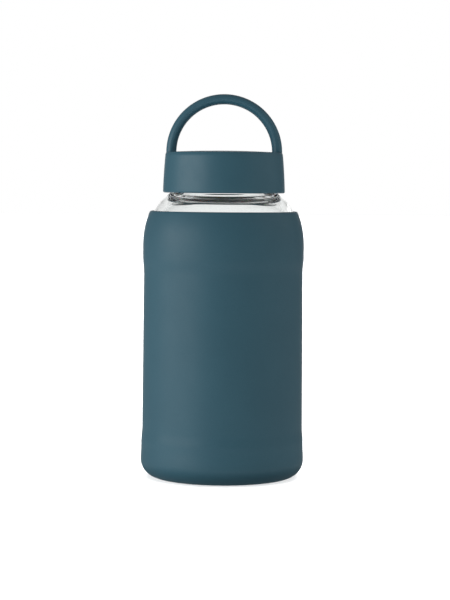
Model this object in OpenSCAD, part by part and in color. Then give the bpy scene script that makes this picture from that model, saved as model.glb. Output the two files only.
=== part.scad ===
// Wide-mouth glass water bottle, about half a litre, with a silicone sleeve and a screw cap
// that carries a fixed arch handle. Millimetres, +Z up. The origin is the centre of the
// bottom of the sleeve, so the bottle stands on the plane z = 0.

/* [Sleeve] */
// Diameter of the sleeve's bottom band
sleeve_foot_d = 80.9; // [80.4:0.1:81.4]
// Diameter of the sleeve's top band
sleeve_top_d = 79.7; // [79.2:0.1:80.4]
// Diameter of the recessed grip at its lower end
grip_low_d = 79.5; // [78.8:0.1:79.7]
// Diameter of the recessed grip at its upper end
grip_high_d = 78.6; // [77.9:0.1:78.8]
// Height of the sleeve's upper edge
sleeve_h = 132; // [129:0.1:133.5]
// Thickness of the sleeve's floor
sleeve_floor = 2.2; // [1.6:0.1:3]
// Outer radius of the rounded foot
foot_r = 8.8; // [7.6:0.1:10]

/* [Glass] */
// Outer diameter of the glass body
glass_d = 75.4; // [74:0.1:76]
// Wall thickness of the glass
glass_wall = 2.4; // [2:0.1:3]
// Outer diameter of the neck under its thread
neck_d = 49.2; // [48.8:0.1:49.6]
// Height of the glass rim
rim_z = 155.2; // [155:0.1:155.4]

/* [Cap] */
// Outer diameter of the cap at its lower edge
cap_d = 60.3; // [59.8:0.1:61]
// Height of the cap's lower edge
cap_z = 141; // [140.8:0.1:141.4]
// Height of the cap's upper rim
crown_z = 161; // [160.8:0.1:162]
// Thread pitch
pitch = 6; // [5.6:0.1:6.4]

/* [Handle] */
// Outer radius of the arch
arch_r = 28.65; // [28.2:0.05:28.7]
// Thickness of the arch, measured in its own plane
arch_t = 5.05; // [4.6:0.05:5.6]
// Width of the arch from front to back
arch_w = 8.6; // [7:0.1:9.6]

/* [Hidden] */
$fn = 128;

glass_r = glass_d / 2;
neck_r = neck_d / 2;
bore_r = neck_r - glass_wall;         // inside of the neck
sleeve_gap = 0.15;                    // between the glass and the sleeve
shoulder_z = 116;                     // where the straight body ends
shoulder = [16.2, 26];                // half-axes of the glass shoulder: inwards, upwards
shoulder_in = [15.4, 23.4];            // its inside, where the wall thickens towards the neck
sleeve_shoulder = [17, 28];           // the same for the sleeve's outside
foot_band_r = sleeve_foot_d / 2 - 0.25; // the band above the rounded foot
glass_foot_r = foot_r - 2.2;
push_up = 2.2;                        // hollow under the glass, at its centre
glass_floor = 4.2;                    // glass thickness at the standing ring

bead_r = neck_r + 1.9;                // ring below the thread
thread_h = 1.3;                       // height of the glass thread
thread_z = 145.2;                     // middle of the glass thread where it starts
thread_turn = 430;                    // degrees that the glass thread covers
thread_clear = 0.3;                   // radial clearance between the two threads
mate_drop = 2.1;                      // how far the cap's thread lies below the glass thread

cap_r = cap_d / 2;
shell_wall = 1.5;
crown_t = 1.6;
crown_rise = 0.8;                    // how far the crown is domed
crown_edge_r = 0.9;                   // rounding of the crown's edge
seal_t = 1.6;
seal_z = rim_z;                       // the seal lies on the rim
plate_z = seal_z + seal_t;            // underside of the liner's plate
plate_t = 1.4;
liner_z = cap_z + 1.4;
liner_r = neck_r + 2.6;               // outside of the liner's wall
liner_bore_r = neck_r + thread_h + thread_clear;
flange_t = 1.2;
plug_r = bore_r - 1;                  // outside of the plug that centres the seal
plug_t = 1.2;
plug_h = 3;

crown_low_z = crown_z - crown_t;      // underside of the crown
seat_z = crown_z - 1;                 // the handle's feet stand this deep in the crown
tenon = [2.6, 5.6];                   // the handle's tenons where they pass the crown
stake = [3.2, 7.6];                   // their staked heads under it
stake_low_z = plate_z + plate_t - 0.5;
leg_x = arch_r - arch_t / 2;          // middle of a leg
stake_x = leg_x - 0.9;

// Points of a quarter ellipse that leaves radius r and height z straight up and curves inwards.
function ease_in(r, z, half, stop, steps = 14) =
    [for (i = [0 : steps]) let (t = stop * i / steps)
        [r - half[0] * (1 - cos(t)), z + half[1] * sin(t)]];

// The angle on such an ellipse at which it has come in by dr, or risen by dz.
function turn_at_r(half, dr) = acos(1 - dr / half[0]);
function turn_at_z(half, dz) = asin(dz / half[1]);

// A soft step from radius r and height z to another radius and height.
function swell(r, z, r2, z2, steps = 6) =
    [for (i = [0 : steps]) let (t = i / steps) [r + (r2 - r) * t * t * (3 - 2 * t), z + (z2 - z) * t]];

// Points on an arc about (x, y) from angle a to angle b.
function arc(x, y, r, a, b, steps = 8) =
    [for (i = [0 : steps]) let (t = a + (b - a) * i / steps) [x + r * cos(t), y + r * sin(t)]];

function reversed(list) = [for (i = [len(list) - 1 : -1 : 0]) list[i]];

// An oval outline, flatter at its ends than an ellipse.
function oval(a, b, steps = 40) =
    [for (i = [0 : steps - 1]) let (t = 360 * i / steps, c = cos(t), s = sin(t))
        [a * sign(c) * pow(abs(c), 0.9), b * sign(s) * pow(abs(s), 0.9)]];

module lathe(points) rotate_extrude() polygon(points);

// A thread ridge as one closed solid, swept up a helix. It fades in and out at its two ends.
module ridge(r_base, r_crest, z, from, to, root_w, crest_w) {
    steps = ceil((to - from) / 7.5);
    fade = 24;
    points = [for (i = [0 : steps])
        let (
            a = from + (to - from) * i / steps,
            full = min(1, (a - from + 2) / fade, (to - a + 2) / fade),
            tip = r_base + (r_crest - r_base) * full,
            mid = r_base + (tip - r_base) * 0.6,
            h = z + pitch * a / 360
        )
        for (p = [[r_base, -root_w / 2], [mid, -(root_w + crest_w) / 4 * full - root_w / 4 * (1 - full)],
                  [tip, -crest_w / 2 * full], [tip, crest_w / 2 * full + 0.02],
                  [mid, (root_w + crest_w) / 4 * full + root_w / 4 * (1 - full)], [r_base, root_w / 2]])
            [p[0] * cos(a), p[0] * sin(a), h + p[1]]];
    sides = [for (i = [0 : steps - 1], k = [0 : 5])
        let (n = (k + 1) % 6) [i * 6 + k, i * 6 + n, i * 6 + 6 + n, i * 6 + 6 + k]];
    first = [for (k = [5 : -1 : 0]) k];
    last = [for (k = [0 : 5]) steps * 6 + k];
    faces = concat([first], sides, [last]);
    polyhedron(points, r_crest > r_base ? faces : [for (f = faces) reversed(f)], convexity = 4);
}

function sleeve_outside() = concat(
    [[0, 0.7], [19, 0.7], [20, 0]],
    arc(sleeve_foot_d / 2 - foot_r, foot_r, foot_r, -90, 0, 10),
    [[foot_band_r, 16.5], [foot_band_r, 18.2]],
    swell(foot_band_r, 18.2, grip_low_d / 2, 24.6),
    swell(grip_high_d / 2, 101.8, sleeve_top_d / 2, 109.6),
    ease_in(sleeve_top_d / 2, 115, sleeve_shoulder, turn_at_z(sleeve_shoulder, sleeve_h - 115.5)));

function sleeve_inside() = concat(
    [[0, sleeve_floor]],
    arc(glass_r + sleeve_gap - glass_foot_r, sleeve_floor + glass_foot_r, glass_foot_r, -90, 0, 10),
    ease_in(glass_r + sleeve_gap, shoulder_z, shoulder, turn_at_z(shoulder, sleeve_h - shoulder_z)));

// One-piece silicone sleeve: closed floor, thicker bands at foot and top, recessed grip between.
module silicone_sleeve() color("#3f6170")
    lathe(concat(sleeve_outside(), reversed(sleeve_inside())));

function glass_outside() = concat(
    [[0, sleeve_floor + push_up], [12, sleeve_floor + push_up * 0.86], [22, sleeve_floor + push_up * 0.4],
     [26, sleeve_floor + 0.5], [27.6, sleeve_floor]],
    arc(glass_r - glass_foot_r, sleeve_floor + glass_foot_r, glass_foot_r, -90, 0, 10),
    ease_in(glass_r, shoulder_z, shoulder, turn_at_r(shoulder, glass_r - bead_r - 0.9)),
    [[bead_r + 0.4, 140.55], [bead_r + 0.1, 140.95], [bead_r, 141.4], [bead_r - 0.05, 141.8],
     [bead_r - 0.3, 142.05], [neck_r + 0.3, 142.95], [neck_r, 143.4]],
    arc(neck_r - 1.2, rim_z - 1.2, 1.2, 0, 90, 6));

function glass_inside() =
    let (
        r = glass_r - glass_wall,
        z = sleeve_floor + glass_floor,
        lean = turn_at_r(shoulder_in, r - bore_r - 2.6)
    )
    concat(
        [[0, z + 1.2], [14, z + 0.9], [24, z + 0.2]],
        arc(r - 5.5, z + 5.5, 5.5, -90, 0, 8),
        ease_in(r, shoulder_z - 0.5, shoulder_in, lean, 18),
        [[bore_r + 1.5, 138.5], [bore_r + 0.95, 139], [bore_r + 0.55, 139.6],
         [bore_r + 0.25, 140.3], [bore_r + 0.08, 141.1], [bore_r, 142]],
        arc(bore_r + 0.8, rim_z - 0.8, 0.8, 180, 90, 5));

// Blown glass body with its neck finish: ring, one and a fifth turns of thread, rounded rim.
module glass_bottle() color("#dfe8ea", 0.4) union() {
    lathe(concat(glass_outside(), reversed(glass_inside())));
    ridge(neck_r - 0.5, neck_r + thread_h, thread_z, 0, thread_turn, 2.8, 1.1);
}

// Flat silicone seal that the cap presses on the rim.
module seal_ring() color("#e9ecec") {
    in = plug_r + 0.2;
    out = liner_bore_r - 0.3;
    lathe(concat(
        [[in, seal_z + 0.3], [in + 0.3, seal_z], [out - 0.3, seal_z], [out, seal_z + 0.3]],
        [[out, plate_z - 0.3], [out - 0.3, plate_z], [in + 0.3, plate_z], [in, plate_z - 0.3]]));
}

// Inner moulding of the cap: plate, threaded wall, plug that centres the seal, snap flange.
module cap_liner() color("#d9dcdb") difference() {
    top = plate_z + plate_t;
    snap_r = cap_r - shell_wall;
    union() {
        lathe([[0, plate_z], [plug_r - plug_t, plate_z], [plug_r - plug_t, plate_z - plug_h],
               [plug_r - 0.4, plate_z - plug_h], [plug_r, plate_z - plug_h + 0.6], [plug_r, plate_z],
               [liner_bore_r, plate_z], [liner_bore_r, liner_z + 0.5], [liner_bore_r + 0.4, liner_z],
               [snap_r - 0.1, liner_z], [snap_r - 0.06, liner_z + 0.4], [snap_r + 0.2, liner_z + 0.7],
               [snap_r - 0.1, liner_z + 1], [snap_r - 0.1, liner_z + flange_t], [liner_r, liner_z + flange_t],
               [liner_r, top - 0.5], [liner_r - 0.5, top], [0, top]]);
        ridge(liner_bore_r + 0.4, neck_r + thread_clear + 0.05, thread_z - mate_drop, 60, 420, 2.4, 0.9);
    }
    for (side = [-1, 1]) translate([side * stake_x, 0, stake_low_z + 5])
        cube([stake[0] + 0.3, stake[1] + 0.3, 10], center = true);
}

// Half height of the outline of a leg, which the crown's seats follow.
module leg_outline(grow = 0) polygon(oval(arch_t / 2 + grow, arch_w / 2 + grow));

function shell_r(z) = let (h = z - cap_z) cap_r - 0.0243 * h - 0.00187 * h * h;

function shell_side(inset, low, high, steps = 8) =
    [for (i = [0 : steps]) let (z = low + (high - low) * i / steps) [shell_r(z) - inset, z]];

// Outer moulding of the cap: drafted skirt and slightly domed crown with a seat for each leg.
module cap_shell() color("#42687a") difference() {
    edge_r = shell_r(crown_z) - crown_edge_r;
    groove_z = liner_z + 0.7;
    lathe(concat(
        [[cap_r - shell_wall + 0.2, cap_z], [cap_r - 0.5, cap_z]],
        shell_side(0, cap_z + 0.5, crown_z - crown_edge_r),
        arc(edge_r, crown_z - crown_edge_r, crown_edge_r, 15, 90, 6),
        [for (i = [1 : 6]) let (k = 1 - i / 6) [edge_r * k, crown_z + crown_rise * (1 - k * k)]],
        [[0, crown_low_z], [shell_r(crown_low_z) - shell_wall - 0.8, crown_low_z]],
        reversed(shell_side(shell_wall, groove_z + 0.35, crown_low_z - 0.8, 5)),
        [[cap_r - shell_wall + 0.25, groove_z], [cap_r - shell_wall - 0.02, groove_z - 0.35]]));
    for (side = [-1, 1]) {
        translate([side * leg_x, 0, seat_z]) linear_extrude(5) leg_outline();
        translate([side * stake_x, 0, crown_z]) cube([tenon[0], tenon[1], 8], center = true);
    }
}

// Rigid arch handle. Each leg stands in a seat in the crown and is staked under it.
module carry_handle() color("#42687a") {
    translate([0, 0, crown_z]) rotate([90, 0, 0]) rotate_extrude(angle = 180)
        translate([leg_x, 0]) leg_outline();
    for (side = [-1, 1]) {
        translate([side * leg_x, 0, seat_z]) linear_extrude(crown_z - seat_z) leg_outline();
        translate([side * stake_x, 0, (crown_low_z + seat_z) / 2])
            cube([tenon[0], tenon[1], seat_z - crown_low_z], center = true);
        translate([side * stake_x, 0, (stake_low_z + crown_low_z) / 2])
            cube([stake[0], stake[1], crown_low_z - stake_low_z], center = true);
    }
}

silicone_sleeve();
glass_bottle();
seal_ring();
cap_liner();
cap_shell();
carry_handle();
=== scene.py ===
"""Finish for a glass water bottle: silicone sleeve, clear glass, matte screw cap and arch."""

from math import acos, asin, ceil, cos, hypot, pi, radians, sin

import bmesh
import bpy
from mathutils import Matrix, Vector


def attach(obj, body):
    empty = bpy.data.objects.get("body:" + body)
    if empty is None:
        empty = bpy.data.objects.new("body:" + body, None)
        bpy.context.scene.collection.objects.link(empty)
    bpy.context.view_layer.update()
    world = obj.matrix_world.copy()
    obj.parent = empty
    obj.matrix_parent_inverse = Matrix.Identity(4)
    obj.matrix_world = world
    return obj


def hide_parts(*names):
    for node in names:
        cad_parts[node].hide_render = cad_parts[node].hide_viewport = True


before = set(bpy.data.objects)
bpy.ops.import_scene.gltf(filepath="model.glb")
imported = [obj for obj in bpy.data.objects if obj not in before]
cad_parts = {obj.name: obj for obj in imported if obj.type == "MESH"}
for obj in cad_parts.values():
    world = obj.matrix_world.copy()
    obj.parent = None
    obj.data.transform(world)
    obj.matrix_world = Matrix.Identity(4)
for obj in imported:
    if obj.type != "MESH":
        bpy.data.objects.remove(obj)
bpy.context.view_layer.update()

MM = 0.001
FACES_ROUND, FACES_HIDDEN = 160, 128
HAIRLINE = 1e-6     # metres; points closer than this are one point
TOUCH = 1e-3        # millimetres; how near a point lies to count as on a ring
SAME_RING = 1e-4    # millimetres; rings nearer than this are drawn once
SAME_R = 1e-6       # millimetres; a smaller change of radius needs no scaling

# The maker's dimensions, in millimetres, as in the part's source.
SLEEVE_FOOT_R, SLEEVE_TOP_R, SLEEVE_H = 40.45, 39.85, 132.0
FOOT_BAND_R = 40.2
GRIP_LOW_R, GRIP_HIGH_R = 39.75, 39.3
FOOT_ROUND, SLEEVE_FLOOR, FOOT_RECESS = 8.8, 2.2, 0.7
GLASS_FOOT = FOOT_ROUND - SLEEVE_FLOOR
GLASS_R, GLASS_WALL, NECK_R, RIM_Z = 37.7, 2.4, 24.6, 155.2
GLASS_BASE, HEEL_IN_R = 4.2, 5.5
PUSH_UP_R, PUSH_UP = 27.6, 2.2
BORE_R, BEAD_R = NECK_R - GLASS_WALL, NECK_R + 1.9
RIM_OUT_R, RIM_IN_R = 1.2, 0.8
# A shoulder starts at its height and is a quarter ellipse of that half width and half height.
SHOULDER_Z, SHOULDER = 116.0, (16.2, 26.0)
SHOULDER_IN_Z, SHOULDER_IN = 115.5, (15.4, 23.4)
SLEEVE_SHOULDER_Z, SLEEVE_SHOULDER = 115.0, (17.0, 28.0)
SLEEVE_GAP = 0.15
PITCH, THREAD_Z, THREAD_TURN = 6.0, 145.2, 430.0
THREAD_STEP = 4     # degrees between a thread's sections
RUN_OUT = 45        # degrees over which a thread's end sinks to its root
CAP_R, CAP_Z, CROWN_Z, CROWN_RISE, CROWN_EDGE = 30.15, 141.0, 161.0, 0.8, 0.9
SHELL_WALL, CROWN_T, SHELL_EDGE = 1.5, 1.6, 0.8
SEAL_T, PLATE_T, PLUG_T, PLUG_H = 1.6, 1.4, 1.2, 3.0
PLATE_Z = RIM_Z + SEAL_T
PLUG_R = BORE_R - 1.0
LINER_Z = CAP_Z + 1.4
LINER_R, LINER_BORE_R = NECK_R + 2.6, NECK_R + 1.6
ARCH_R, ARCH_T, ARCH_W = 28.65, 5.05, 8.6
LEG_X, LEG_SUNK = ARCH_R - ARCH_T / 2, 0.9


# ---- outlines, as (radius, height) pairs in millimetres ----

def arc(r, z, radius, start, stop, steps):
    """Points on a round of that radius about (r, z), from start to stop in degrees."""
    turns = [radians(start + (stop - start) * i / steps) for i in range(steps + 1)]
    return [(r + radius * cos(t), z + radius * sin(t)) for t in turns]


def shoulder_line(r, z, half, stop, steps):
    """Leaves (r, z) straight up and curves in along a quarter ellipse, up to stop in degrees."""
    turns = [radians(stop * i / steps) for i in range(steps + 1)]
    return [(r - half[0] * (1 - cos(t)), z + half[1] * sin(t)) for t in turns]


def swell(low, high, steps):
    """A soft step between two (radius, height) points."""
    points = []
    for i in range(steps + 1):
        t = i / steps
        r = low[0] + (high[0] - low[0]) * t * t * (3 - 2 * t)
        points.append((r, low[1] + (high[1] - low[1]) * t))
    return points


def rise_angle(half, dz):
    """How far along a shoulder, in degrees, it has risen by dz."""
    return asin(dz / half[1]) * 180 / pi


def reach_angle(half, dr):
    """How far along a shoulder, in degrees, it has come in by dr."""
    return acos(1 - dr / half[0]) * 180 / pi


def straight(low, high, steps):
    """Even steps between two points, so that long walls still carry rings."""
    return [(low[0] + (high[0] - low[0]) * i / steps, low[1] + (high[1] - low[1]) * i / steps)
            for i in range(steps + 1)]


def apart(a, b):
    """The distance between two points."""
    return hypot(a[0] - b[0], a[1] - b[1])


# ---- modelling by hand ----

def deselect():
    """Back to object mode with nothing in hand."""
    if bpy.context.mode != "OBJECT":
        bpy.ops.object.mode_set(mode="OBJECT")
    bpy.ops.object.select_all(action="DESELECT")


def pick(test):
    """In edit mode, selects only the vertices whose place passes the test."""
    mesh = bmesh.from_edit_mesh(bpy.context.edit_object.data)
    for item in [*mesh.verts, *mesh.edges, *mesh.faces]:
        item.select = False
    for vert in mesh.verts:
        vert.select = test(vert.co)
    mesh.select_flush(True)
    bmesh.update_edit_mesh(bpy.context.edit_object.data)


def draw_ring(r, z, last_r, last_z):
    """Extrudes the ring in hand to a new height, then scales it to its new radius."""
    bpy.ops.mesh.extrude_region_move(TRANSFORM_OT_translate={"value": (0, 0, (z - last_z) * MM)})
    if abs(r - last_r) > SAME_R:
        bpy.ops.transform.resize(value=(r / last_r, r / last_r, 1), center_override=(0, 0, z * MM))


def close_on_axis(z, last_z):
    """Extrudes the ring in hand to the axis and joins it there in one point."""
    bpy.ops.mesh.extrude_region_move(TRANSFORM_OT_translate={"value": (0, 0, (z - last_z) * MM)})
    bpy.ops.mesh.merge(type="CENTER")


def turned(name, outline, faces=FACES_ROUND):
    """A round solid, drawn up ring by ring. It closes on the axis, or onto its own first ring."""
    on_axis = outline[0][0] == 0
    rings = [p for p in outline if p[0] > 0]
    rings = [p for i, p in enumerate(rings) if i == 0 or apart(p, rings[i - 1]) > SAME_RING]
    deselect()
    first_r, first_z = rings[0]
    bpy.ops.mesh.primitive_circle_add(vertices=faces, radius=first_r * MM,
                                      location=(0, 0, first_z * MM))
    piece = bpy.context.object
    piece.name = piece.data.name = name
    bpy.ops.object.transform_apply(location=True, rotation=True, scale=True)
    bpy.ops.object.mode_set(mode="EDIT")
    bpy.ops.mesh.select_all(action="SELECT")
    last = rings[0]
    for ring in rings[1:]:
        draw_ring(*ring, *last)
        last = ring

    def on_ring(ring):
        return lambda co: (abs(co.z / MM - ring[1]) < TOUCH
                           and abs(hypot(co.x, co.y) / MM - ring[0]) < TOUCH)

    if on_axis:
        close_on_axis(outline[-1][1], last[1])
        pick(on_ring(rings[0]))
        close_on_axis(outline[0][1], first_z)
    else:
        pick(lambda co: on_ring(rings[0])(co) or on_ring(last)(co))
        bpy.ops.mesh.bridge_edge_loops()
    bpy.ops.mesh.select_all(action="SELECT")
    bpy.ops.mesh.normals_make_consistent(inside=False)
    bpy.ops.object.mode_set(mode="OBJECT")
    return piece


def soften(piece, angle):
    """Smooth shading, kept crisp where faces meet at more than the angle."""
    deselect()
    piece.select_set(True)
    bpy.context.view_layer.objects.active = piece
    bpy.ops.object.shade_smooth_by_angle(angle=radians(angle))


def apply_modifier(piece, kind, **settings):
    """Adds a modifier with these settings and makes its result the piece's own mesh."""
    deselect()
    piece.select_set(True)
    bpy.context.view_layer.objects.active = piece
    modifier = piece.modifiers.new(kind.lower(), kind)
    for key, value in settings.items():
        setattr(modifier, key, value)
    bpy.ops.object.modifier_apply(modifier=modifier.name)


def ridge(name, root_r, crest_r, z, start, stop, root_w, crest_w):
    """A screw thread's ridge: a small tapered bar wound up the helix, with both ends run out."""
    deselect()
    bpy.ops.mesh.primitive_circle_add(vertices=10, radius=1, fill_type="NGON", location=(0, 0, 0))
    bar = bpy.context.object
    bar.name = bar.data.name = name
    bpy.ops.object.mode_set(mode="EDIT")
    mesh = bmesh.from_edit_mesh(bar.data)
    belly = 0.8         # below 1 the ridge narrows sooner, near its root
    for vert in mesh.verts:
        out, up = vert.co.x, vert.co.y
        share = (out + 1) / 2
        width = root_w + (crest_w - root_w) * share ** belly
        r = root_r + (crest_r - root_r) * share
        vert.co = Vector((r * MM, 0, z * MM + up * width / 2 * MM))
    bmesh.update_edit_mesh(bar.data)
    bpy.ops.mesh.select_all(action="SELECT")
    bpy.ops.mesh.delete(type="ONLY_FACE")
    bpy.ops.object.mode_set(mode="OBJECT")
    turn = stop - start
    steps = ceil(turn / THREAD_STEP)
    apply_modifier(bar, "SCREW", axis="Z", angle=radians(turn),
                   screw_offset=PITCH * turn / 360 * MM, iterations=1,
                   steps=steps, render_steps=steps, use_smooth_shade=True)
    bar.rotation_euler = (0, 0, radians(start))
    deselect()
    bar.select_set(True)
    bpy.ops.object.transform_apply(location=True, rotation=True, scale=True)
    run_out(bar, root_r, crest_r, z, start, turn)
    bpy.ops.object.mode_set(mode="EDIT")
    bpy.ops.mesh.select_all(action="SELECT")
    bpy.ops.mesh.fill_holes(sides=0)
    bpy.ops.mesh.normals_make_consistent(inside=False)
    bpy.ops.object.mode_set(mode="OBJECT")
    return bar


def run_out(bar, root_r, crest_r, z, start, turn):
    """Sinks the first and last eighth of a turn of a thread towards its root."""
    away = 1 if crest_r > root_r else -1
    least, kept = 0.04, 0.35    # shares of its depth and its width that a thread's end keeps
    for vert in bar.data.vertices:
        co = vert.co
        r = hypot(co.x, co.y) / MM
        angle = Vector((1, 0)).angle_signed(Vector((co.x, co.y)), 0) * -180 / pi
        heading = (angle - start) % 360
        up = co.z / MM - z
        laps = round((up - PITCH * heading / 360) / PITCH)
        along = heading + 360 * laps
        full = min(1, max(least, (along + THREAD_STEP) / RUN_OUT),
                   max(least, (turn - along + THREAD_STEP) / RUN_OUT))
        middle = z + PITCH * along / 360
        new_r = root_r + away * abs(r - root_r) * full
        co.x, co.y = co.x * new_r / r, co.y * new_r / r
        co.z = (middle + (co.z / MM - middle) * (kept + (1 - kept) * full)) * MM


def unite(piece, other):
    """Joins another solid to the piece, and closes the hairline faces this can leave."""
    apply_modifier(piece, "BOOLEAN", operation="UNION", object=other, solver="EXACT")
    bpy.data.objects.remove(other)
    bpy.ops.object.mode_set(mode="EDIT")
    bpy.ops.mesh.select_all(action="SELECT")
    bpy.ops.mesh.remove_doubles(threshold=HAIRLINE)
    bpy.ops.object.mode_set(mode="OBJECT")


# ---- finishes ----

def srgb(r, g, b):
    """A colour from its everyday 0 to 255 values."""
    def linear(c):
        c /= 255
        return c / 12.92 if c <= 0.04045 else ((c + 0.055) / 1.055) ** 2.4
    return (linear(r), linear(g), linear(b), 1)


class Finish:
    """A material with its Principled shader, and short ways to wire patterns into it."""

    def __init__(self, name, **values):
        self.material = bpy.data.materials.new(name)
        self.material.use_nodes = True
        self.tree = self.material.node_tree
        self.shader = self.tree.nodes["Principled BSDF"]
        for key, value in values.items():
            self.shader.inputs[key.replace("_", " ")].default_value = value
        self.place = self.tree.nodes.new("ShaderNodeTexCoord").outputs["Object"]

    def link(self, source, target):
        self.tree.links.new(source, target)

    def colour(self, source):
        self.link(source, self.shader.inputs["Base Color"])

    def roughness(self, source):
        self.link(source, self.shader.inputs["Roughness"])

    def stretch(self, x, y, z):
        node = self.tree.nodes.new("ShaderNodeMapping")
        node.inputs["Scale"].default_value = (x, y, z)
        self.link(self.place, node.inputs["Vector"])
        return node.outputs["Vector"]

    def noise(self, size_mm, detail=3.0, rough=0.5, vector=None):
        node = self.tree.nodes.new("ShaderNodeTexNoise")
        node.inputs["Scale"].default_value = 1 / (size_mm * MM)
        node.inputs["Detail"].default_value = detail
        node.inputs["Roughness"].default_value = rough
        self.link(vector or self.place, node.inputs["Vector"])
        return node.outputs["Fac"]

    def spread(self, source, low, high, at=(0.35, 0.65)):
        """Stretches a pattern's usual values, those between at, over low to high."""
        node = self.tree.nodes.new("ShaderNodeMapRange")
        node.inputs["From Min"].default_value, node.inputs["From Max"].default_value = at
        node.inputs["To Min"].default_value, node.inputs["To Max"].default_value = low, high
        self.link(source, node.inputs["Value"])
        return node.outputs["Result"]

    def added(self, a, b):
        node = self.tree.nodes.new("ShaderNodeMath")
        node.operation = "ADD"
        self.link(a, node.inputs[0])
        self.link(b, node.inputs[1])
        return node.outputs["Value"]

    def blend(self, factor, first, second):
        node = self.tree.nodes.new("ShaderNodeMix")
        node.data_type = "RGBA"
        self.link(factor, node.inputs["Factor"])
        for socket, value in zip([s for s in node.inputs if s.type == "RGBA"], (first, second)):
            if isinstance(value, tuple):
                socket.default_value = value
            else:
                self.link(value, socket)
        return [s for s in node.outputs if s.type == "RGBA"][0]

    def bumps(self, *layers):
        """Layers of (height, strength, depth in millimetres), the coarsest first."""
        normal = None
        for height, strength, depth in layers:
            node = self.tree.nodes.new("ShaderNodeBump")
            node.inputs["Strength"].default_value = strength
            node.inputs["Distance"].default_value = depth * MM
            self.link(height, node.inputs["Height"])
            if normal:
                self.link(normal, node.inputs["Normal"])
            normal = node.outputs["Normal"]
        self.link(normal, self.shader.inputs["Normal"])


BOTH_NOISES = (0.8, 1.2)    # the usual values of two noises added together


def silicone_finish():
    """Matte teal silicone: soft mottling, a fine moulded grain and a dusty sheen."""
    f = Finish("teal_silicone", IOR=1.45, Specular_IOR_Level=0.54,
               Sheen_Weight=0.05, Sheen_Roughness=0.55)
    tone = f.spread(f.noise(26, 4), 0, 1)
    grain = f.noise(0.45, 2, 0.6)
    base = f.blend(tone, srgb(71, 120, 139), srgb(74, 124, 143))
    f.colour(f.blend(f.spread(grain, 0, 0.35), base, srgb(64, 112, 130)))
    f.roughness(f.spread(f.added(f.noise(9, 3), grain), 0.45, 0.52, BOTH_NOISES))
    f.bumps((f.noise(14, 2), 0.12, 0.12), (grain, 0.22, 0.03))
    return f.material


def cap_finish():
    """Matte teal moulded plastic with a fine spark-eroded grain."""
    f = Finish("teal_plastic", IOR=1.49, Specular_IOR_Level=0.54)
    tone = f.spread(f.noise(18, 3), 0, 1)
    grain = f.noise(0.3, 2, 0.55)
    base = f.blend(tone, srgb(72, 122, 141), srgb(75, 126, 145))
    f.colour(f.blend(f.spread(grain, 0, 0.3), base, srgb(65, 114, 132)))
    f.roughness(f.spread(f.added(f.noise(6, 3), grain), 0.42, 0.49, BOTH_NOISES))
    f.bumps((f.noise(11, 2), 0.1, 0.08), (grain, 0.2, 0.02))
    return f.material


def glass_finish():
    """Clear soda-lime glass with the faint waviness of a blown wall."""
    f = Finish("clear_glass", IOR=1.5, Transmission_Weight=1.0)
    streaks = f.noise(30, 3)
    f.colour(f.blend(f.spread(streaks, 0, 1), (0.97, 0.99, 0.983, 1), (0.98, 0.994, 0.989, 1)))
    f.roughness(f.spread(streaks, 0.0, 0.03))
    waves = f.noise(22, 1, vector=f.stretch(1, 1, 0.45))
    f.bumps((waves, 0.25, 0.3))
    return f.material


def liner_finish():
    """Natural, slightly translucent moulded plastic."""
    f = Finish("natural_plastic", IOR=1.49, Subsurface_Weight=0.25, Subsurface_Scale=0.002)
    tone = f.spread(f.noise(12, 3), 0, 1)
    f.colour(f.blend(tone, srgb(234, 237, 236), srgb(241, 243, 242)))
    f.roughness(f.spread(f.noise(4, 3), 0.34, 0.44))
    f.bumps((f.noise(0.6, 2), 0.12, 0.02))
    return f.material


def seal_finish():
    """Milky silicone of the seal."""
    f = Finish("milky_silicone", IOR=1.41, Subsurface_Weight=0.35, Subsurface_Scale=0.002)
    tone = f.spread(f.noise(7, 3), 0, 1)
    f.colour(f.blend(tone, srgb(236, 238, 237), srgb(242, 244, 243)))
    f.roughness(f.spread(f.noise(3, 3), 0.45, 0.56))
    f.bumps((f.noise(0.5, 2), 0.15, 0.02))
    return f.material


# ---- the pieces ----

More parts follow.
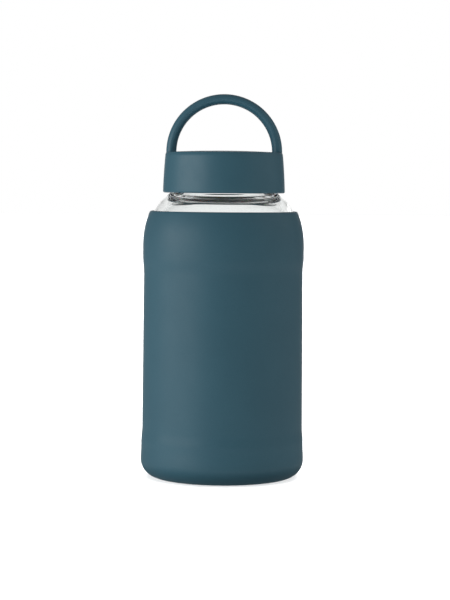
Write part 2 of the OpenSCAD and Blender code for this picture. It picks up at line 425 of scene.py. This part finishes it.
def sleeve_outline():
    """Recess under the foot, foot round and band, grip, top band and lip, then the cavity."""
    outside = [(0, FOOT_RECESS), (9, FOOT_RECESS), (18.4, FOOT_RECESS)]
    outside += swell((19.0, FOOT_RECESS - 0.02), (20.2, 0.0), 5) + [(26, 0), (30, 0)]
    outside += arc(SLEEVE_FOOT_R - FOOT_ROUND, FOOT_ROUND, FOOT_ROUND, -90, 0, 18)
    outside += swell((SLEEVE_FOOT_R, 8.9), (FOOT_BAND_R, 16.5), 6)
    outside += swell((FOOT_BAND_R, 18.2), (GRIP_LOW_R, 24.6), 12)
    outside += straight((GRIP_LOW_R, 26), (GRIP_HIGH_R, 100.8), 16)
    outside += swell((GRIP_HIGH_R, 101.8), (SLEEVE_TOP_R, 109.6), 12)
    lip_low = rise_angle(SLEEVE_SHOULDER, SLEEVE_H - 0.75 - SLEEVE_SHOULDER_Z)
    outside += shoulder_line(SLEEVE_TOP_R, SLEEVE_SHOULDER_Z, SLEEVE_SHOULDER, lip_low, 24)
    edge_r = outside[-1][0]
    cavity_r = GLASS_R + SLEEVE_GAP
    inside = [(0, SLEEVE_FLOOR), (12, SLEEVE_FLOOR), (24, SLEEVE_FLOOR)]
    inside += arc(cavity_r - GLASS_FOOT, SLEEVE_FLOOR + GLASS_FOOT, GLASS_FOOT, -90, 0, 10)
    inside += straight((cavity_r, 10), (cavity_r, SHOULDER_Z - 1), 10)
    lip_top = rise_angle(SHOULDER, SLEEVE_H - 0.5 - SHOULDER_Z)
    inside += shoulder_line(cavity_r, SHOULDER_Z, SHOULDER, lip_top, 14)
    in_r = inside[-1][0]
    lip = [(edge_r - 0.25, SLEEVE_H - 0.32), (edge_r - 0.6, SLEEVE_H - 0.08),
           (edge_r - 1.0, SLEEVE_H), (in_r + 0.55, SLEEVE_H), (in_r + 0.2, SLEEVE_H - 0.14),
           (in_r + 0.04, SLEEVE_H - 0.32)]
    return outside + lip + inside[::-1]


def glass_outline():
    """Push-up, heel, wall, shoulder, ring below the thread, neck and rim, then the inside."""
    steps = 12
    outside = [(0, SLEEVE_FLOOR + PUSH_UP)]
    outside += [(PUSH_UP_R * i / steps, SLEEVE_FLOOR + PUSH_UP * (1 - (i / steps) ** 2))
                for i in range(1, steps)]
    outside += [(PUSH_UP_R, SLEEVE_FLOOR + 0.05)]
    outside += arc(GLASS_R - GLASS_FOOT, SLEEVE_FLOOR + GLASS_FOOT, GLASS_FOOT, -90, 0, 14)
    outside += straight((GLASS_R, 10), (GLASS_R, SHOULDER_Z - 1), 12)
    bead_low = reach_angle(SHOULDER, GLASS_R - BEAD_R - 0.9)
    outside += shoulder_line(GLASS_R, SHOULDER_Z, SHOULDER, bead_low, 40)
    outside += [(BEAD_R + 0.4, 140.55), (BEAD_R + 0.18, 140.78), (BEAD_R + 0.06, 141.1),
                (BEAD_R, 141.4), (BEAD_R - 0.05, 141.75), (BEAD_R - 0.3, 142.05)]
    outside += swell((NECK_R + 0.9, 142.4), (NECK_R, 143.4), 5)
    outside += straight((NECK_R, 144), (NECK_R, 153.6), 6)
    outside += arc(NECK_R - RIM_OUT_R, RIM_Z - RIM_OUT_R, RIM_OUT_R, 0, 90, 8)
    r, z = GLASS_R - GLASS_WALL, SLEEVE_FLOOR + GLASS_BASE
    inside = [(0, z + 1.2), (8, z + 1.1), (14, z + 0.9), (20, z + 0.5), (25, z + 0.12)]
    inside += arc(r - HEEL_IN_R, z + HEEL_IN_R, HEEL_IN_R, -90, 0, 12)
    inside += straight((r, 14), (r, SHOULDER_IN_Z - 1), 12)
    inside += shoulder_line(r, SHOULDER_IN_Z, SHOULDER_IN,
                            reach_angle(SHOULDER_IN, r - BORE_R - 2.6), 30)
    inside += [(BORE_R + 1.5, 138.5), (BORE_R + 0.95, 139), (BORE_R + 0.55, 139.6),
               (BORE_R + 0.25, 140.3), (BORE_R + 0.08, 141.1)]
    inside += straight((BORE_R, 142), (BORE_R, 154), 6)
    inside += arc(BORE_R + RIM_IN_R, RIM_Z - RIM_IN_R, RIM_IN_R, 180, 90, 6)
    return outside + inside[::-1]


def seal_outline():
    """A flat ring with its four edges rounded."""
    low, high, edge = RIM_Z, PLATE_Z, 0.3
    inner, outer = PLUG_R + 0.2 + edge, LINER_BORE_R - 0.3 - edge
    return (arc(outer, low + edge, edge, -90, 0, 4) + arc(outer, high - edge, edge, 0, 90, 4)
            + arc(inner, high - edge, edge, 90, 180, 4) + arc(inner, low + edge, edge, 180, 270, 4))


def liner_outline():
    """Up the plug and the bore, round the snap bead at the foot, and over the top plate."""
    plug_in, plug_low = PLUG_R - PLUG_T, PLATE_Z - PLUG_H
    snap, top, low = CAP_R - SHELL_WALL, PLATE_Z + PLATE_T, LINER_Z
    plug = [(0, PLATE_Z), (9, PLATE_Z), (plug_in - 0.3, PLATE_Z), (plug_in, PLATE_Z - 0.3),
            (plug_in, plug_low + 0.3), (plug_in + 0.3, plug_low), (PLUG_R - 0.5, plug_low),
            (PLUG_R - 0.1, plug_low + 0.5), (PLUG_R, plug_low + 0.9), (PLUG_R, PLATE_Z - 0.1),
            (PLUG_R + 0.1, PLATE_Z)]
    bore = [(LINER_BORE_R - 0.1, PLATE_Z), (LINER_BORE_R, PLATE_Z - 0.1), (LINER_BORE_R, 150),
            (LINER_BORE_R, low + 0.6), (LINER_BORE_R + 0.12, low + 0.2), (LINER_BORE_R + 0.4, low)]
    bead = [(snap - 0.35, low), (snap - 0.15, low + 0.12), (snap - 0.1, low + 0.35),
            (snap + 0.12, low + 0.7), (snap - 0.1, low + 1), (snap - 0.1, low + 1.2)]
    outside = [(LINER_R + 0.3, low + 1.2), (LINER_R, low + 1.5), (LINER_R, top - 0.5),
               (LINER_R - 0.15, top - 0.15), (LINER_R - 0.5, top), (12, top), (0, top)]
    return plug + bore + bead + outside


def shell_r(z):
    """The outer shell's radius: a slight taper that grows towards the crown."""
    h = z - CAP_Z
    return CAP_R - 0.0243 * h - 0.00187 * h * h


def shell_outline():
    """Rounded lower edge, tapered side and domed crown, then the inside with its snap groove."""
    side_steps, crown_steps, inside_steps = 14, 12, 6
    edge_r, under = shell_r(CROWN_Z) - CROWN_EDGE, CROWN_Z - CROWN_T
    side_low, side_high = CAP_Z + SHELL_EDGE, CROWN_Z - CROWN_EDGE
    wall_in = CAP_R - SHELL_WALL
    outside = [(wall_in + 0.35, CAP_Z + 0.1), (wall_in + 0.6, CAP_Z)]
    outside += arc(shell_r(side_low) - SHELL_EDGE, side_low, SHELL_EDGE, -90, 0, 8)
    heights = [side_low + (side_high - side_low) * i / side_steps
               for i in range(1, side_steps + 1)]
    outside += [(shell_r(z), z) for z in heights]
    outside += arc(edge_r, side_high, CROWN_EDGE, 6, 84, 8)
    for i in range(crown_steps):
        k = 1 - i / crown_steps
        outside.append((edge_r * k, CROWN_Z + CROWN_RISE * (1 - k * k)))
    inside = [(wall_in + 0.15, CAP_Z + 0.35), (wall_in - 0.02, LINER_Z + 0.35),
              (wall_in + 0.25, LINER_Z + 0.7)]
    heights = [LINER_Z + 1.05 + (under - 0.8 - LINER_Z - 1.05) * i / inside_steps
               for i in range(inside_steps + 1)]
    inside += [(shell_r(z) - SHELL_WALL, z) for z in heights]
    corner_r = shell_r(under) - SHELL_WALL
    inside += [(corner_r - 0.25, under - 0.25), (corner_r - 0.8, under), (14, under)]
    pole = (0, CROWN_Z + CROWN_RISE)
    return [pole] + outside[::-1] + inside + [(0, under)]


def leg_section(piece):
    """In edit mode, turns a unit circle into the arch's oval section at the foot of a leg."""
    mesh = bmesh.from_edit_mesh(piece.data)
    fullness = 0.9      # below 1 the oval is a little squarer than an ellipse
    for vert in mesh.verts:
        c, s = vert.co.x, vert.co.y
        x = ARCH_T / 2 * (abs(c) ** fullness) * (1 if c > 0 else -1)
        y = ARCH_W / 2 * (abs(s) ** fullness) * (1 if s > 0 else -1)
        vert.co = Vector(((LEG_X + x) * MM, y * MM, CROWN_Z * MM))
    bmesh.update_edit_mesh(piece.data)


def arch_handle():
    """The arch: an oval spun over half a turn, with its legs run down into the crown."""
    deselect()
    bpy.ops.mesh.primitive_circle_add(vertices=48, radius=1, location=(0, 0, 0))
    piece = bpy.context.object
    piece.name = piece.data.name = "arch_handle"
    bpy.ops.object.mode_set(mode="EDIT")
    leg_section(piece)
    bpy.ops.mesh.select_all(action="SELECT")
    bpy.ops.mesh.spin(steps=96, angle=pi, center=(0, 0, CROWN_Z * MM), axis=(0, 1, 0))
    pick(lambda co: abs(co.z / MM - CROWN_Z) < TOUCH)
    bpy.ops.mesh.extrude_region_move(TRANSFORM_OT_translate={"value": (0, 0, -LEG_SUNK * MM)})
    bpy.ops.mesh.fill_holes(sides=0)
    bpy.ops.mesh.select_all(action="SELECT")
    bpy.ops.mesh.remove_doubles(threshold=HAIRLINE)
    bpy.ops.mesh.normals_make_consistent(inside=False)
    bpy.ops.object.mode_set(mode="OBJECT")
    return piece


def finished(piece, body, node, material, angle):
    """Gives a piece its surface, hangs it on its body, and hides the node's own imported part in
    its place.
    """
    soften(piece, angle)
    piece.data.materials.clear()
    piece.data.materials.append(material)
    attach(piece, body)
    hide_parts(node)


def make_pieces():
    """Every visible piece, each on its body and in place of its node."""
    teal_plastic = cap_finish()
    finished(turned("sleeve", sleeve_outline()), "sleeve", "silicone_sleeve",
             silicone_finish(), 50)

    glass = turned("glass_body", glass_outline())
    unite(glass, ridge("glass_thread", NECK_R - 0.4, NECK_R + 1.3, THREAD_Z,
                       0, THREAD_TURN, 2.8, 1.1))
    finished(glass, "bottle", "glass_bottle", glass_finish(), 40)

    finished(turned("seal", seal_outline(), FACES_HIDDEN), "seal", "seal_ring",
             seal_finish(), 60)

    liner = turned("cap_inner", liner_outline(), FACES_HIDDEN)
    unite(liner, ridge("cap_thread", LINER_BORE_R + 0.3, NECK_R + 0.35, THREAD_Z - 2.1,
                       60, 420, 2.4, 0.9))
    finished(liner, "cap", "cap_liner", liner_finish(), 35)

    finished(turned("cap_outer", shell_outline()), "cap", "cap_shell",
             teal_plastic, 50)
    finished(arch_handle(), "cap", "carry_handle", teal_plastic, 60)


# ---- the studio ----

SENSOR, LENS = 36, 160
CLIP_NEAR, CLIP_FAR = 0.05, 50
CAMERA_AWAY, CAMERA_UP = 0.991, 0.148
LOOK_DOWN, ROLL, CAMERA_SIDE = 3.47, 0.45, 0.00096
MIDDLE = (0, 0, 0.095)      # half-way up the bottle, where the soft lights aim
FLOOR_SIZE, FLOOR_Z = 14, -0.0001
SHADE_R, SHADE_Z = 53, -0.0002
SUN_SPREAD = 70             # degrees across, so that its shadows are soft
GLASS_BOUNCES = 40          # light runs round inside the neck's thick glass before it leaves


def camera():
    """A long lens in front of the bottle and a little above its middle, looking slightly down."""
    data = bpy.data.cameras.new("camera")
    data.sensor_fit = "HORIZONTAL"
    data.sensor_width = SENSOR
    data.lens = LENS
    data.clip_start, data.clip_end = CLIP_NEAR, CLIP_FAR
    item = bpy.data.objects.new("camera", data)
    bpy.context.collection.objects.link(item)
    tilt = Matrix.Rotation(radians(90 - LOOK_DOWN), 4, "X")
    turn = tilt @ Matrix.Rotation(radians(ROLL), 4, "Z")
    item.matrix_world = Matrix.Translation((CAMERA_SIDE, -CAMERA_AWAY, CAMERA_UP)) @ turn
    bpy.context.scene.camera = item


def softbox(name, azimuth, elevation, distance, width, height, power):
    """A soft rectangular light. Azimuth 0 is beside the camera, and positive goes to its right."""
    data = bpy.data.lights.new(name, "AREA")
    data.shape, data.size, data.size_y = "RECTANGLE", width, height
    data.energy = power
    item = bpy.data.objects.new(name, data)
    bpy.context.collection.objects.link(item)
    a, e = radians(azimuth), radians(elevation)
    aim = Vector(MIDDLE)
    item.location = aim + distance * Vector((sin(a) * cos(e), -cos(a) * cos(e), sin(e)))
    item.rotation_euler = (aim - item.location).to_track_quat("-Z", "Y").to_euler()


def pale_floor():
    """A pale sheet that only a straight look sees."""
    bpy.ops.mesh.primitive_plane_add(size=FLOOR_SIZE, location=(0, 0, FLOOR_Z))
    floor = bpy.context.object
    floor.name = "floor"
    paper = Finish("pale_paper", Roughness=0.9, Specular_IOR_Level=0.1)
    mottle = paper.spread(paper.noise(40, 3), 0, 1)
    paper.colour(paper.blend(mottle, (0.9, 0.9, 0.9, 1), (0.93, 0.93, 0.93, 1)))
    floor.data.materials.append(paper.material)
    floor.visible_diffuse = floor.visible_glossy = floor.visible_transmission = False
    return floor


def foot_shade():
    """A dark disc just under the floor, seen only by bounced light, paints the shade of the ground
    round the foot; its faint glow paints the little light that ground throws back up.
    """
    bpy.ops.mesh.primitive_circle_add(vertices=64, radius=SHADE_R * MM, fill_type="NGON",
                                      location=(0, 0, SHADE_Z))
    shade = bpy.context.object
    shade.name = "foot_shade"
    # Painted shade and painted bounce light: a black surface with a faint pale blue glow, no lamp.
    paper = Finish("painted_foot_shade", Base_Color=(0, 0, 0, 1), Roughness=1,
                   Emission_Color=(0.85, 0.96, 1, 1), Emission_Strength=0.16)
    shade.data.materials.append(paper.material)
    shade.visible_camera = shade.visible_transmission = shade.visible_shadow = False


def studio():
    deselect()
    floor = pale_floor()
    foot_shade()

    only_floor = bpy.data.collections.new("floor_only")
    only_floor.objects.link(floor)
    for name, strength, shadow in (("floor_glow", 4.2, False), ("floor_wash", 1.6, True)):
        wash = bpy.data.objects.new(name, bpy.data.lights.new(name, "SUN"))
        wash.data.energy, wash.data.use_shadow = strength, shadow
        wash.data.angle = radians(SUN_SPREAD)
        bpy.context.collection.objects.link(wash)
        wash.light_linking.receiver_collection = only_floor

    # Azimuth and elevation in degrees, distance, width and height in metres, power in watts.
    softbox("key", -65, 7, 1.45, 1.7, 0.7, 9.6)
    softbox("fill", 84, 24, 1.4, 1.8, 1.3, 2.5)
    surroundings()
    bpy.context.scene.view_settings.view_transform = "Standard"
    paths = bpy.context.scene.cycles
    paths.max_bounces = paths.transmission_bounces = paths.glossy_bounces = GLASS_BOUNCES


def surroundings():
    """Dim walls and ceiling, pale ground further off, and a white sheet behind.

    Looks straight past the bottle meet plain white, and looks through its glass a graded sheet.
    """
    world = bpy.data.worlds.new("studio")
    bpy.context.scene.world = world
    world.use_nodes = True
    nodes, links = world.node_tree.nodes, world.node_tree.links

    def graded(source, low, high, dim, bright):
        """Runs smoothly from dim at low to bright at high."""
        node = nodes.new("ShaderNodeMapRange")
        node.interpolation_type = "SMOOTHSTEP"
        node.inputs["From Min"].default_value, node.inputs["From Max"].default_value = low, high
        node.inputs["To Min"].default_value, node.inputs["To Max"].default_value = dim, bright
        links.new(source, node.inputs["Value"])
        return node.outputs["Result"]

    def combined(a, b, operation):
        node = nodes.new("ShaderNodeMath")
        node.operation = operation
        links.new(a, node.inputs[0])
        links.new(b, node.inputs[1])
        return node.outputs["Value"]

    split = nodes.new("ShaderNodeSeparateXYZ")
    links.new(nodes.new("ShaderNodeTexCoord").outputs["Generated"], split.inputs["Vector"])
    # How far a look goes back, away from the camera, and up, each from -1 to 1.
    back, up = split.outputs["Y"], split.outputs["Z"]
    walls = graded(up, -0.3, 0.05, 0.05, 0.13)
    ground = combined(graded(up, -0.42, -0.06, 0.92, 0.0),
                      graded(up, -0.85, -0.4, 0.0, 1.0), "MULTIPLY")
    ceiling = graded(up, 0.1, 0.6, 0.0, 0.2)
    sheet = graded(back, 0.88, 0.98, 0.0, 1.0)
    room = combined(combined(walls, ceiling, "MAXIMUM"),
                    combined(ground, sheet, "MAXIMUM"), "MAXIMUM")
    rays = nodes.new("ShaderNodeLightPath")
    backdrop = combined(graded(back, 0.35, 0.92, 0.5, 1.0),
                        graded(up, -0.4, -0.05, 1.0, 0.0), "MAXIMUM")
    through_glass = combined(rays.outputs["Is Transmission Ray"], backdrop, "MULTIPLY")
    straight_look = combined(rays.outputs["Is Camera Ray"], through_glass, "MAXIMUM")
    mix = nodes.new("ShaderNodeMix")
    links.new(straight_look, mix.inputs["Factor"])
    links.new(room, mix.inputs["A"])
    mix.inputs["B"].default_value = 1.0
    nodes["Background"].inputs["Color"].default_value = (1, 1, 1, 1)
    links.new(mix.outputs["Result"], nodes["Background"].inputs["Strength"])


camera()
make_pieces()
studio()
